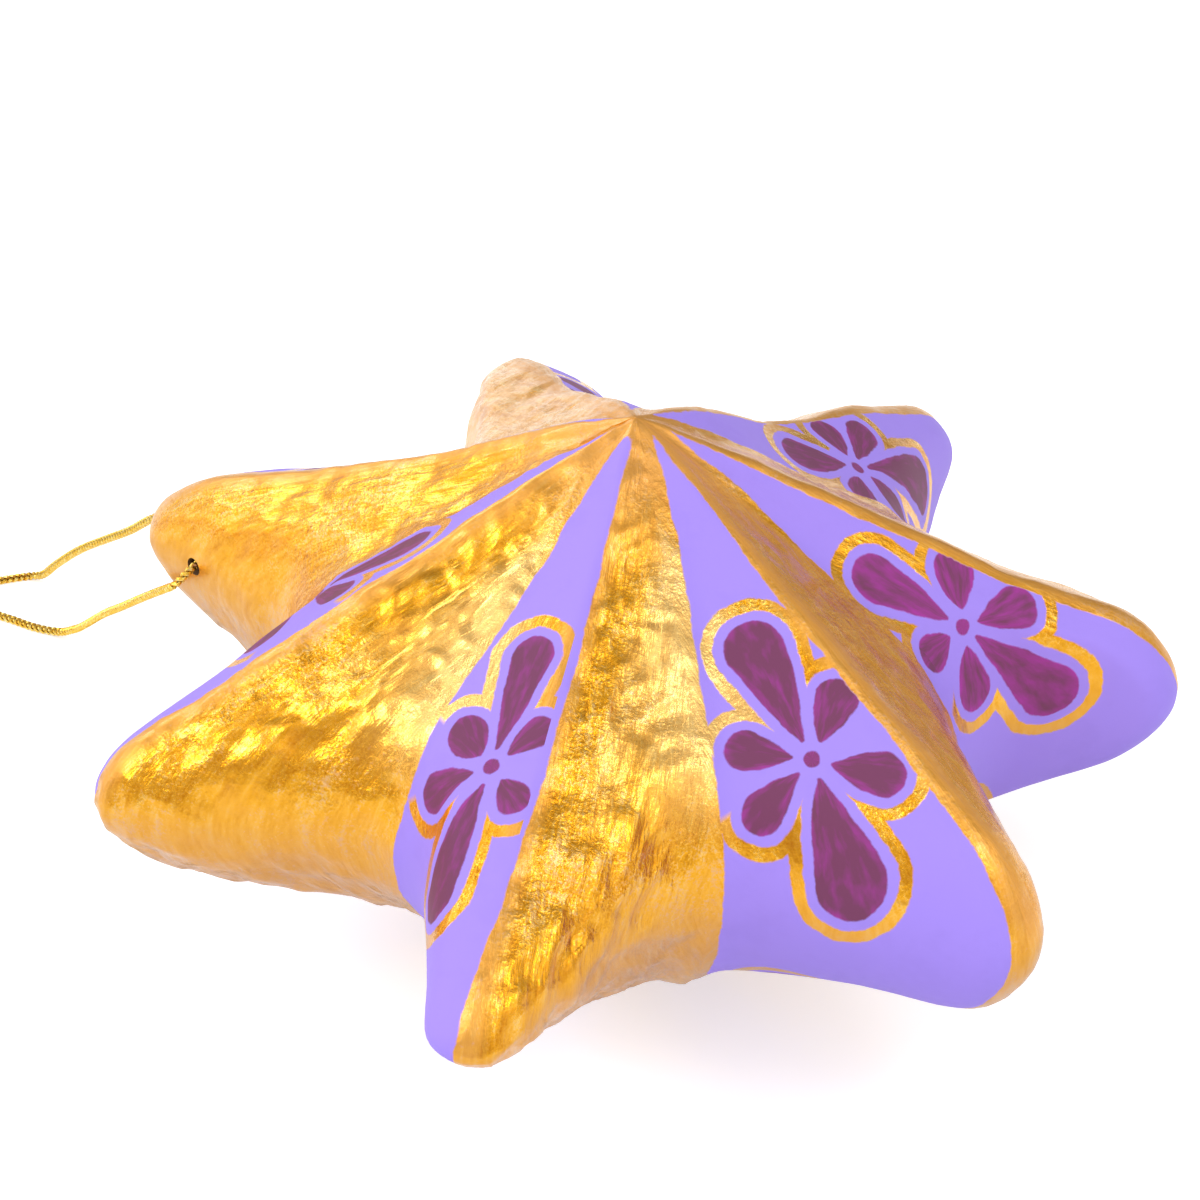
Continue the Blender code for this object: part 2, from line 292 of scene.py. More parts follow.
star = {
    "arms": 7,
    "firstArm": 2.0,
    "tipReach": 0.0650,
    "waistReach": 0.0405,
    "crownHeight": 0.0355,
    "crownRound": 0.0010,
    "flatCut": 0.0025,
    "tipEdge": 0.0058,
    "waistEdge": 0.0108,
    "tipRound": 0.0052,
    "waistRound": 0.0120,
    "ridgeRound": 0.0008,
    "valleyRound": 0.0030,
    "edgeRound": 0.0090,
    "edgeFullness": 0.59,
    "wall": 0.0025,
    "stripShare": 0.60,
    "columns": 41,
    "faceRows": 76,
    "edgeRows": 25,
    "innerRows": 12,
}
midHeight = star["crownHeight"] - star["flatCut"]
flankCount = 2 * star["arms"]

# Each arm: turn, added reach, added edge height, then its valley's turn and added radius
handMade = [
    (-0.5, -0.0015, 0.0014, -0.2, 0.0000),
    (1.1, 0.0007, -0.0007, 0.4, -0.0005),
    (-0.4, 0.0036, -0.0018, -1.1, -0.0007),
    (-2.8, 0.0005, -0.0006, -2.5, -0.0005),
    (-3.2, -0.0015, 0.0005, -1.4, 0.0010),
    (-2.6, 0.0017, -0.0028, -1.9, 0.0020),
    (2.4, -0.0023, 0.0027, 4.2, -0.0005),
]

# Where the paper was built up or pressed in: direction, reach and height of the spot, and rise
bulges = {
    "width": 8.5,
    "spots": [
        (-164, 45.7, 11.3, -0.12), (-160, 54.9, 8.1, -0.65), (-157, 63.0, 1.2, 1.06),
        (-136, 36.2, -14.6, -0.40), (-108, 62.4, -0.2, 0.24), (-101, 61.6, -4.4, 0.23),
        (-96, 54.5, -6.4, -1.27), (-89, 43.1, -11.1, -1.80), (-78, 36.4, -14.0, 0.80),
        (-64, 39.8, -14.1, -0.93), (-56, 48.7, -11.4, -0.56), (-48, 57.0, -10.3, 0.95),
        (-44, 61.8, -1.0, 0.13), (-42, 55.2, 8.1, -0.31), (-2, 54.8, -9.1, 0.17),
        (1, 46.8, -14.6, -0.71), (2, 63.3, 1.5, 0.21), (3, 57.0, 9.2, 0.17),
        (9, 45.7, 12.4, -0.64), (14, 38.2, 14.8, -0.35), (50, 61.5, -2.4, -0.65),
        (53, 63.1, 4.2, 0.83), (55, 19.4, 26.8, 0.13), (56, 28.1, 22.5, -1.07),
        (56, 54.0, 10.0, -0.43), (56, 42.8, 15.4, 1.60), (59, 9.6, 31.2, 1.04),
        (66, 36.9, 15.2, -1.80), (91, 35.9, 15.3, -1.80), (100, 55.2, 8.2, -0.55),
        (109, 65.0, 1.8, -0.17), (113, 53.3, 2.5, 0.77), (149, 51.9, 9.7, 0.25),
        (151, 27.8, 22.5, -0.63), (152, 39.3, 17.1, -0.52), (153, 61.3, 6.4, 0.59),
        (157, 62.7, -2.7, -0.14), (159, 54.1, -8.4, -0.28),
    ],
}

# Pasted paper's unevenness, in millimetres. Lumps and crumples have a seed, a width, a rise
# everywhere and an added rise where gold is folded; creases have a seed, a width and a depth.
unevenness = {
    "lumps": [(5, 17.0, 0.40, 0.0), (11, 7.5, 0.12, 0.42)],
    "grains": (41, 1.5, 0.02, 0.03),
    "crumples": (31, 3.6, 0.02, 0.22),
    "crumpleBend": (37, 6.0, 1.6),
    "creases": [(23, 4.6, 0.34), (29, 2.3, 0.19)],
    "creaseStretch": 3.4,
    "creaseLean": 0.10,
    "creaseMargin": 2.5,
    "goldMargin": 1.6,
    "calmRoundHole": (5.5, 11.5),
    "calmAtFoot": 4.0,
}
# One valley is filled with paste: its rise, in millimetres, the share of it at ways down from the
# crown, and its width on either flank
valleyFill = {
    "rise": 1.0, "down": (8, 28, 46, 54), "share": (0, 1, 1, 0), "widths": {11: 3.6, 12: 2.4},
}
cordHole = {
    "arm": 3, "fromTip": 0.0099, "rise": 0.0012, "radius": 0.0011, "sides": 28, "depth": 0.06,
}


def armAngle(arm):
    return math.radians(star["firstArm"] + 360 / star["arms"] * arm + handMade[arm][0])


def valleyAngle(valley):
    turn = star["firstArm"] + 360 / star["arms"] * (valley + 0.5) + handMade[valley][3]
    return math.radians(turn)


def fall(radius):
    return np.hypot(radius, star["crownRound"]) - star["crownRound"]


def outlineOfHalfArm(reach, waist, half, count):
    # evenly spaced plan points round the tip, along the side and into the valley
    tipRound, waistRound = star["tipRound"], star["waistRound"]
    tip = np.array([reach - tipRound, 0.0])
    bend = (waist + waistRound) * np.array([math.cos(half), math.sin(half)])
    across = bend - tip
    lean = math.acos(min((tipRound + waistRound) / np.hypot(*across), 1.0))
    facing = math.atan2(across[1], across[0]) - lean
    first, second = np.linspace(0, facing, 40), np.linspace(facing, half, 40)
    round1 = tip + tipRound * np.stack([np.cos(first), np.sin(first)], 1)
    round2 = bend - waistRound * np.stack([np.cos(second), np.sin(second)], 1)
    line = np.concatenate([round1, round2])
    run = np.concatenate([[0], np.cumsum(np.hypot(*np.diff(line, axis=0).T))])
    at = np.linspace(0, run[-1], count)
    return np.stack([np.interp(at, run, line[:, k]) for k in (0, 1)], 1)


class Flanks:
    # the fourteen flanks, each from a ridge to a valley, as columns of points
    def __init__(self):
        rows = []
        for arm in range(star["arms"]):
            for side in (-1, 1):
                valley = arm if side > 0 else (arm - 1) % star["arms"]
                half = (valleyAngle(valley) - armAngle(arm)) * side % (2 * math.pi)
                reach = star["tipReach"] + handMade[arm][1]
                waist = star["waistReach"] + handMade[valley][4]
                edge = star["tipEdge"] + handMade[arm][2]
                ridgeSlope = (star["crownHeight"] - edge) / fall(reach)
                valleySlope = (star["crownHeight"] - star["waistEdge"]) / fall(waist)
                spots = outlineOfHalfArm(reach, waist, half, star["columns"])
                for x, y in (spots if side > 0 else spots[::-1])[:-1]:
                    angle = math.atan2(y, x)
                    rows.append((
                        math.hypot(x, y), angle, armAngle(arm) + side * angle,
                        half, ridgeSlope, valleySlope, 2 * arm + (side > 0),
                    ))
        table = np.array(rows).T
        self.reach, self.angle, self.azimuth, self.half = table[:4]
        self.ridgeSlope, self.valleySlope = table[4:6]
        self.flank = table[6].astype(int)

    def slope(self, radius, angle=None, pick=slice(None)):
        angle = self.angle if angle is None else angle
        half, radius = self.half[pick], np.maximum(radius, star["crownRound"])
        ridge = np.minimum(star["ridgeRound"] / radius, 0.5 * half)
        valley = np.minimum(star["valleyRound"] / radius, 0.4 * half)
        fromRidge = (np.hypot(angle, ridge) - ridge) / (np.hypot(half, ridge) - ridge)
        left = half - angle
        fromValley = (np.hypot(left, valley) - valley) / (np.hypot(half, valley) - valley)
        share = angle / half
        turned = half * (fromRidge * (1 - share) + (1 - fromValley) * share)
        both = self.ridgeSlope[pick] * np.sin(half - turned)
        return (both + self.valleySlope[pick] * np.sin(turned)) / np.sin(half)

    def halfStar(self):
        # rows of points from the crown to the mid plane
        start = self.reach - star["edgeRound"]
        crown = star["crownHeight"]
        rows = []
        for share in np.linspace(0, 1, star["faceRows"], endpoint=False):
            radius = np.maximum(start * share, 1e-5)
            rows.append((radius, crown - self.slope(radius) * fall(radius)))
        low = crown - self.slope(self.reach) * fall(self.reach)
        low = np.maximum(low, 0.1 * star["edgeRound"])
        top = np.array([start, crown - self.slope(start) * fall(start)])
        corner = np.array([self.reach, low])
        foot = np.array([self.reach, 0 * self.reach])
        upper = top + (corner - top) * star["edgeFullness"]
        lower = foot + (corner - foot) * star["edgeFullness"]
        for t in np.linspace(0, 1, star["edgeRows"] + 1):
            s = 1 - t
            rows.append(top * s**3 + 3 * upper * t * s**2 + 3 * lower * s * t**2 + foot * t**3)
        rows = np.array([np.array(row) for row in rows])
        x, y = rows[:, 0] * np.cos(self.azimuth), rows[:, 0] * np.sin(self.azimuth)
        return np.stack([x, y, rows[:, 1]], -1)

    def unroll(self, grid):
        # way down from the crown, turn away from the ridge, and each flank's whole turn
        steps = np.linalg.norm(np.diff(grid, axis=0), axis=-1)
        down = np.concatenate([np.zeros((1, grid.shape[1])), np.cumsum(steps, 0)])
        turn, whole = np.zeros(grid.shape[1]), np.zeros(flankCount)
        for flank in range(flankCount):
            here = np.where(self.flank == flank)[0]
            fine = np.linspace(0, self.half[here[0]], 400)
            slope = self.slope(0.035, fine, here[0])
            way = np.stack([np.cos(fine), np.sin(fine), -slope], 1)
            way /= np.linalg.norm(way, axis=1)[:, None]
            steps = np.linalg.norm(np.diff(way, axis=0), axis=1)
            run = np.concatenate([[0], np.cumsum(steps)])
            turn[here] = np.interp(self.angle[here], fine, run)
            whole[flank] = run[-1]
        return down, turn, whole


def normalsOf(grid):
    along = np.gradient(grid, axis=0)
    across = np.roll(grid, -1, 1) - np.roll(grid, 1, 1)
    normals = np.cross(across, along)
    normals /= np.linalg.norm(normals, axis=-1)[..., None] + 1e-12
    if normals[len(grid) // 4, :, 2].mean() < 0:
        normals = -normals
    normals[0] = (0, 0, 1)
    normals[-1] = (0, 0, -1)
    return normals


class Lumps:
    # smooth random lumps in space, the same on every run
    def __init__(self, seed):
        self.order = np.random.RandomState(seed).permutation(256)
        self.ways = np.random.RandomState(seed + 1).normal(size=(256, 3))
        self.ways /= np.linalg.norm(self.ways, axis=1)[:, None]

    def at(self, points, width):
        spots = points / width + 100.0
        cell = np.floor(spots).astype(int)
        inside = spots - cell
        ease = inside**3 * (inside * (inside * 6 - 15) + 10)
        total = np.zeros(points.shape[:-1])
        for corner in np.ndindex(2, 2, 2):
            x, y, z = ((cell[..., k] + corner[k]) % 256 for k in range(3))
            way = self.ways[self.order[(self.order[(self.order[x] + y) % 256] + z) % 256]]
            weight = np.prod(np.where(corner, ease, 1 - ease), axis=-1)
            total += weight * ((inside - corner) * way).sum(-1)
        return total * 1.6


# The painter's lines, in millimetres, arm by arm. Folds says how creased the gold is. Gold laps
# over the ridge and the valley by so much at the stated ways down from the crown. The flower has
# its way down and its turn from the ridge in degrees, then its petals as angle, reach and width,
# the first one pointing up to the crown. Its outline may run on by ringMore degrees.

lapsAt = (0, 15, 30, 45, 60, 75, 95)
usual = {
    "folds": 0.30,
    "ridgeLap": (0, 0.5, 1.0, 1.3, 1.6, 1.8, 1.8),
    "valleyLap": (1, 1.4, 1.4, 1.4, 1.4, 1.4, 1.4),
    "flower": (43.5, 11.0),
    "ringMore": 0,
    "petals": [
        (180, 16.0, 6.0), (3, 18.0, 6.6), (-129, 8.8, 4.5), (-51, 9.6, 4.7), (56, 9.5, 4.6),
        (124, 8.7, 4.4),
    ],
}
arms = {
    "F": {
        "ridgeLap": (0, 0.8, 1.5, 1.8, 1.8, 1.6, 1.6),
        "valleyLap": (1, 1.3, -1.0, -3.1, 0.5, 1.5, 1.5),
        "flower": (44.0, 11.5), "ringMore": 22,
        "petals": [
            (177, 14.8, 6.0), (0.5, 17.6, 6.1), (-122, 9.2, 5.2), (-49, 10.0, 5.1),
            (44, 9.9, 5.1), (119, 7.7, 4.4),
        ],
    },
    "G": {
        "flower": (39.8, 13.8),
        "petals": [
            (185, 12.8, 6.0), (-6, 19.5, 6.4), (-96, 8.6, 4.6), (-48, 11.0, 4.6), (46, 9.2, 4.7),
            (122, 8.2, 4.5),
        ],
    },
    "A": {"folds": 0.35},
    "B": {"folds": 0.45},
    "C": {
        "folds": 1.0, "ridgeLap": (0, 0.5, 0.8, 1.0, 1.3, 1.5, 1.5), "flower": (42.5, 18.6),
        "petals": [
            (194, 16.6, 5.8), (2, 17.0, 6.4), (-122, 10.6, 4.9), (-58, 12.2, 5.6), (56, 8.0, 4.4),
            (124, 7.6, 4.2),
        ],
    },
    "D": {
        "folds": 1.1, "ridgeLap": (-0.1, -0.5, -0.95, -0.9, -0.1, 1.0, 2.0),
        "valleyLap": (0.5, 0.8, 1.4, 1.9, 1.0, 0.8, 0.8), "flower": (43.9, 7.4),
        "petals": [
            (179, 15.9, 5.2), (7, 17.8, 6.1), (-138, 8.0, 3.8), (-51, 7.2, 3.9), (65, 10.0, 4.7),
            (126, 7.8, 5.0),
        ],
    },
    "E": {
        "folds": 0.25, "ridgeLap": (0, 0.2, 1.1, 1.2, 2.0, 2.3, 2.4),
        "valleyLap": (1.2, 2.0, 1.5, 1.3, 1.6, 0.4, -1.0), "flower": (44.1, 12.4), "ringMore": 8,
        "petals": [
            (181, 17.2, 6.5), (9, 17.7, 7.6), (-132, 9.8, 4.6), (-52, 10.2, 5.1), (69, 10.0, 4.6),
            (124, 9.2, 4.5),
        ],
    },
}
armPlans = [{**usual, **arm} for arm in arms.values()]
petalCount = 6
# the underside's flowers sit nearer the middle and are smaller
under = {"shift": 12.0, "size": 0.86}
# the outline stops so many degrees before or after its side petals' middles
ringTurns = (0, 0, -7, 7, 7, -7)
# where a face has no flower, it lies this far from one
farOff = 90.0
# gold covers the crown's very top
crownGold = {"radius": 0.0026, "slope": 0.8}


def lap(arm, which, down):
    return np.interp(down / mm, lapsAt, armPlans[arm][which]) * mm


def creased(lumps):
    # sharp crests where smooth lumps change their sign
    return 0.5 - 2.2 * np.abs(lumps)


class Skin:
    # the star's outside, with its relief, and where each point lies on the painter's lines
    def __init__(self):
        self.flanks = Flanks()
        upper = self.flanks.halfStar()
        down, self.turn, self.whole = self.flanks.unroll(upper)
        lower = upper[:-1][::-1].copy()
        lower[..., 2] = np.maximum(-lower[..., 2], -midHeight)
        self.base = np.concatenate([upper, lower])
        self.middle = len(upper) - 1
        self.down = np.concatenate([down, down[:-1][::-1]])
        self.baseNormals = normalsOf(self.base)
        self.points = self.base + self.baseNormals * self.relief()[..., None]
        self.points[..., 2] = np.maximum(self.points[..., 2], -midHeight)
        self.points[-1] = self.base[-1]

    def paintEdge(self, flank, turn, down):
        # how far inside the lilac a point is; below zero it is on the gold
        arm, left = flank // 2, self.whole[flank] - turn
        lilac = flank % 2 == 0
        ridge, valley = down * turn, down * left
        above = np.zeros(down.shape)
        for which in range(star["arms"]):
            here, after = arm == which, (which + 1) % star["arms"]
            overRidge = lap(which, "ridgeLap", down)
            own = np.minimum(ridge - overRidge, valley - lap(which, "valleyLap", down))
            beside = np.maximum(-ridge - overRidge, -valley - lap(after, "valleyLap", down))
            above = np.where(here, np.where(lilac, own, beside), above)
        return np.minimum(above, (down - crownGold["radius"]) * crownGold["slope"])

    def creases(self, flank, turn, left):
        # along the flank's slope, and none beside its ridge and valley
        across = self.down * (turn - unevenness["creaseLean"])
        places = np.stack([self.down / unevenness["creaseStretch"], across, flank * 0.05], -1)
        margin = unevenness["creaseMargin"] * mm
        window = np.clip(self.down * np.minimum(turn, left) / margin, 0, 1)
        for seed, width, depth in unevenness["creases"]:
            yield creased(Lumps(seed).at(places, width * mm)) * depth * mm * window

    def swell(self, row, folded):
        seed, width, plain, more = row
        return Lumps(seed).at(self.base, width * mm) * (plain + more * folded) * mm

    def relief(self):
        flank = np.broadcast_to(self.flanks.flank, self.down.shape)
        turn = np.broadcast_to(self.turn, self.down.shape)
        left = self.whole[flank] - turn
        edge = self.paintEdge(flank, turn, self.down)
        gold = np.clip(0.5 - edge / (unevenness["goldMargin"] * mm), 0, 1)
        folded = gold * np.array([plan["folds"] for plan in armPlans])[flank // 2]
        rise = np.zeros(self.down.shape)
        for lumps in unevenness["lumps"]:
            rise += self.swell(lumps, folded)
        for crease in self.creases(flank, turn, left):
            rise += crease * folded
        filled = np.interp(self.down / mm, valleyFill["down"], valleyFill["share"])
        for which, width in valleyFill["widths"].items():
            hump = np.exp(-((self.down * left / (width * mm)) ** 2))
            rise += valleyFill["rise"] * mm * filled * hump * (flank == which)
        seed, width, amount = unevenness["crumpleBend"]
        bend = Lumps(seed).at(self.base, width * mm) * amount * mm
        seed, width, plain, more = unevenness["crumples"]
        crumple = creased(Lumps(seed).at(self.base + bend[..., None], width * mm))
        rise += crumple * (plain + more * folded) * mm
        rise += self.swell(unevenness["grains"], folded)
        for azimuth, reach, height, amount in bulges["spots"]:
            turned = math.radians(azimuth)
            spot = np.array([reach * math.cos(turned), reach * math.sin(turned), height]) * mm
            far = ((self.base - spot) ** 2).sum(-1) / (2 * (bulges["width"] * mm) ** 2)
            rise += amount * mm * np.exp(-far)
        centre, _ = holeFrame()
        nearHole = np.linalg.norm(self.base - (centre - Vector((0, 0, midHeight))), axis=-1)
        start, full = (radius * mm for radius in unevenness["calmRoundHole"])
        calm = np.clip((nearHole - start) / (full - start), 0, 1)
        foot = np.abs(self.base[..., 2] + midHeight) / (unevenness["calmAtFoot"] * mm)
        return rise * calm * np.where(self.base[..., 2] < 0, np.clip(foot, 0, 1), 1)


def holeFrame():
    # the hole's middle and its direction
    angle = armAngle(cordHole["arm"])
    outward = Vector((math.cos(angle), math.sin(angle), 0.0))
    reach = star["tipReach"] + handMade[cordHole["arm"]][1]
    centre = outward * (reach - cordHole["fromTip"])
    centre.z = midHeight + cordHole["rise"]
    return centre, Vector((-outward.y, outward.x, 0.0))


def addVectors(mesh, name, domain, values):
    made = mesh.attributes.new(name, "FLOAT_VECTOR", domain)
    made.data.foreach_set("vector", np.ascontiguousarray(values, np.float32).ravel())


def shellMesh(name, skin, rows, materials):
    # a wall of paper under some of the skin's rows, closed all round
    outer = skin.points[rows]
    innerRows = rows[:: max(1, (len(rows) - 1) // star["innerRows"])]
    innerRows = innerRows if innerRows[-1] == rows[-1] else np.append(innerRows, rows[-1])
    inner = skin.base[innerRows] - skin.baseNormals[innerRows] * star["wall"]
    inner = inner[::-1]
    count = outer.shape[1]
    ring = np.concatenate([outer, inner])
    numbers = np.arange(ring.shape[0] * count).reshape(-1, count)
    faces, corners, kinds = [], [], []
    pairs = [(r, r + 1) for r in range(len(ring) - 1)]
    if rows[0] > 0 and rows[-1] < len(skin.points) - 1:
        pairs.append((len(ring) - 1, 0))
    column = np.arange(count)
    after = np.roll(column, -1)
    for upper, lower in pairs:
        high, low = numbers[upper], numbers[lower]
        faces.append(np.stack([high, low, low[after], high[after]], 1))
        painted = upper < lower < len(outer)
        kinds.append(np.full(count, 0 if painted else 1))
        high, low = (rows[upper], rows[lower]) if painted else (-1, -1)
        corners.append(np.stack([column, 0 * column + high, 0 * column + low], 1))
    faces, corners, kinds = (np.concatenate(part) for part in (faces, corners, kinds))
    points = ring.reshape(-1, 3) + (0, 0, midHeight)
    item = meshItem(name, points.tolist(), faces.tolist(), *materials)
    writePainting(item.data, skin, corners)
    item.data.polygons.foreach_set("material_index", kinds)
    item.data.shade_smooth()
    tidyMesh(item)
    return item


class Flower:
    # a painted flower's middle on the skin, and flat places for the points round it
    def __init__(self, skin, arm, below):
        plan = armPlans[arm]
        down, away = plan["flower"]
        down, away = (down - below * under["shift"]) * mm, math.radians(away)
        columns = np.where(skin.flanks.flank == 2 * arm)[0][::-1]
        rows = slice(None, skin.middle, -1) if below else slice(0, skin.middle)
        found = []
        for grid in (skin.base, skin.baseNormals):
            for axis in range(3):
                line = [np.interp(down, skin.down[rows, c], grid[rows, c, axis]) for c in columns]
                found.append(np.interp(away, skin.turn[columns], line))
        self.middle, self.normal = np.array(found[:3]), np.array(found[3:])
        self.normal /= np.linalg.norm(self.normal)
        crown = (0, 0, -midHeight if below else midHeight)
        self.outward = self.middle - crown
        self.outward -= self.normal * self.outward.dot(self.normal)
        self.outward /= np.linalg.norm(self.outward)
        self.aside = np.cross(self.normal, self.outward) * (1 if below else -1)
        size = under["size"] if below else 1.0
        angles, reaches, widths = (np.array(plan["petals"]) * (1, size, size)).T
        turns = np.abs(angles) + ringTurns
        turns[4] += plan["ringMore"]
        turns = np.cos(np.radians(turns))
        self.ringEnds = ((turns[4], turns[5]), (turns[3], turns[2]))
        angles = np.radians(angles)
        x, y = reaches * np.cos(angles), reaches * np.sin(angles)
        self.petals = np.stack([x, y, widths / 2], 1)

    def flat(self, points):
        # flat on the skin near the middle, and measured round the rim beyond it
        away = points - self.middle
        x, y, sunk = away @ self.outward, away @ self.aside, np.maximum(-(away @ self.normal), 0)
        plan = np.hypot(x, y) + 1e-9
        stretch = np.hypot(plan, sunk) / plan / mm
        return x * stretch, y * stretch


def writePainting(mesh, skin, corners):
    # each face's place among the painter's lines: on its flank, and in the nearest flower
    column, high, low = corners.T
    after = (column + 1) % len(skin.turn)
    flank = skin.flanks.flank[column]
    border = np.where(flank % 2, skin.whole[flank], 0)
    ahead = np.where(skin.flanks.flank[after] == flank, skin.turn[after], border)
    turn = np.stack([skin.turn[column], skin.turn[column], ahead, ahead], 1)
    spots = (np.stack([high, low, low, high], 1), np.stack([column, column, after, after], 1))
    down = skin.down[spots]
    edge = skin.paintEdge(np.repeat(flank[:, None], 4, 1), turn, down)
    addVectors(mesh, "paintPlace", "CORNER", np.stack([edge, down, down * turn], -1) / mm)
    x, y = np.full(down.shape, farOff), np.zeros(down.shape)
    petals = np.tile((6.0, 0.0, 1.0), (petalCount, len(flank), 1))
    ends = np.zeros((len(flank), 3))
    nearest = np.full(len(flank), np.inf)
    for arm in range(star["arms"]):
        for below in (0, 1):
            flower = Flower(skin, arm, below)
            flatX, flatY = flower.flat(skin.base[spots])
            far = np.hypot(flatX.mean(1), flatY.mean(1))
            here = (flank == 2 * arm) | (flank == (2 * arm - 1) % flankCount)
            here = here & (high >= 0) & (far < nearest)
            nearest[here] = far[here]
            x[here], y[here] = flatX[here], flatY[here]
            for which, petal in enumerate(flower.petals):
                petals[which][here] = petal
            for side in (0, 1):
                onSide = here & ((flatY.mean(1) < 0) == (side == 1))
                ends[onSide, :2] = flower.ringEnds[side]
    flower = np.stack([x, y, np.repeat(flank[:, None], 4, 1)], -1)
    addVectors(mesh, "flowerPlace", "CORNER", flower)
    addVectors(mesh, "ringEnds", "FACE", ends)
    for which in range(petalCount):
        addVectors(mesh, f"petal{which}", "FACE", petals[which])


def tidyMesh(item):
    # crown and foot rows shrink to one point each, and faces turn outward
    work = bmesh.new()
    work.from_mesh(item.data)
    bmesh.ops.remove_doubles(work, verts=work.verts, dist=2e-6)
    bmesh.ops.dissolve_degenerate(work, edges=work.edges, dist=1e-7)
    bmesh.ops.recalc_face_normals(work, faces=work.faces)
    work.to_mesh(item.data)
    work.free()
    item.data.set_sharp_from_angle(angle=math.radians(60))


def pierce(item, paper):
    # a round hole across the tip
    centre, along = holeFrame()
    work = bmesh.new()
    turn = along.to_track_quat("Z", "Y").to_matrix().to_4x4()
    bmesh.ops.create_cone(
        work, cap_ends=True, segments=cordHole["sides"], radius1=cordHole["radius"],
        radius2=cordHole["radius"], depth=cordHole["depth"],
        matrix=Matrix.Translation(centre) @ turn,
    )
    mesh = bpy.data.meshes.new("holeCutter")
    work.to_mesh(mesh)
    work.free()
    mesh.materials.append(paper)
    cutter = placed("holeCutter", mesh)
    cut = item.modifiers.new("cordHole", "BOOLEAN")
    cut.operation, cut.solver, cut.object = "DIFFERENCE", "EXACT", cutter
    cut.material_mode = "TRANSFER"
    bpy.context.view_layer.update()
    shown = item.evaluated_get(bpy.context.evaluated_depsgraph_get())
    done = bpy.data.meshes.new_from_object(shown)
    item.modifiers.clear()
    item.data = done
    bpy.data.objects.remove(cutter, do_unlink=True)


# Finishes

# gold's colours, the tones at which dark, mid and bright lie, and how much brush marks, streaks
# and broad patches change the tone
goldLook = {
    "dark": (0.56, 0.185, 0.004),
    "mid": (0.88, 0.405, 0.012),
    "bright": (1.0, 0.655, 0.150),
    "tones": (0.14, 0.50, 0.84),
    "thin": (0.70, 0.385, 0.270),
    "smooth": (0.80, 0.385, 0.022),
    # painted highlight: the pale gold of a band beside the lilac on the front flanks
    "pale": (1.0, 0.700, 0.300),
    "ridge": (0.76, 0.370, 0.085),
    # painted shade: the next two colours darken the rim's lower part
    "lowRimShade": (0.62, 0.320, 0.130),
    "shade": (0.10, 0.050, 0.010),
    # painted shade: a duller gold for the flank that faces right
    "wornAndShaded": (0.86, 0.390, 0.070),
    "metal": 0.97,
    "roughness": (0.18, 0.34),
    "grain": 0.00010,
    "brushed": 0.66,
    "streaks": 0.46,
    "broad": 0.30,
}
lilacLook = {"color": (0.373, 0.264, 0.92), "wornAndShaded": (0.315, 0.220, 0.81), "roughness": 0.55}
petalLook = {"color": (0.182, 0.048, 0.122), "stroke": (0.40, 0.042, 0.37), "roughness": 0.50}
# the outline round the petals, in millimetres
outlineLook = {
    "margin": 1.15, "width": 1.45, "dot": 0.95, "innerGap": 2.1, "heart": 3.0, "petalTip": 0.25,
}
# how far the painter's hand strays, how ragged and how soft an edge is, in millimetres
strokeLook = {"stray": 0.9, "ragged": 0.30, "soft": 0.10}
coatLook = {"roughness": 0.14, "specular": 0.17}


class Lines:
    # where a point lies among the painter's lines: on gold, on the outline or on a petal
    def __init__(self, paint):
        self.edge, self.down, self.sideways = paint.place("paintPlace")
        x, y, self.flank = paint.place("flowerPlace")
        self.spot = paint.spot()
        strayX, strayY, strayZ = (
            (shift - 0.5) * strokeLook["stray"]
            for shift in paint.parts(paint.noise(self.spot, 240.0, 2.0, 0.5, "Color"))
        )
        self.x, self.y = x + strayX, y + strayY
        ragged = paint.noise(self.spot, 1500.0, 2.0, 0.6) - 0.5
        self.edge = self.edge + strayZ + ragged * strokeLook["ragged"]

        self.petals = self.petalDistance(paint, 0)
        for which in range(1, petalCount):
            self.petals = self.petals.least(self.petalDistance(paint, which))
        self.outward = (self.x * self.x + self.y * self.y).root()
        plum = self.petals.least(self.outward - outlineLook["dot"]) + ragged * 0.22
        middle = outlineLook["margin"] + outlineLook["width"] / 2
        shape = self.petals.least(self.outward - outlineLook["heart"])
        ring = (shape - middle + ragged * 0.35).size() - outlineLook["width"] / 2
        lowEnd, highEnd, _ = paint.place("ringEnds")
        cosine = self.x / self.outward
        drawn = (cosine - lowEnd).most(highEnd - cosine).step(-0.03, 0.03)

        soft = strokeLook["soft"]
        self.goldSide = 1.0 - self.edge.step(-soft, soft)
        self.gold = self.goldSide.most((1.0 - ring.step(-soft, soft)) * drawn)
        self.onPetal = (1.0 - plum.step(-soft, soft)) * (1.0 - self.goldSide)

    def petalDistance(self, paint, which):
        # distance from a teardrop with its point near the flower's centre, in millimetres
        endX, endY, halfWidth = paint.place(f"petal{which}")
        reach = (endX * endX + endY * endY).root()
        alongX, alongY = endX / reach, endY / reach
        tip = outlineLook["petalTip"]
        along = self.x * alongX + self.y * alongY - (outlineLook["innerGap"] + tip)
        side = (self.x * alongY - self.y * alongX).size()
        span = reach - halfWidth - (outlineLook["innerGap"] + tip)
        lean = (halfWidth - tip) / span
        share = ((along + side * lean) / span).clamped()
        across = along - share * span
        swell = share * (1.40 - share * 0.40)
        return (side * side + across * across).root() - (tip + (halfWidth - tip) * swell)


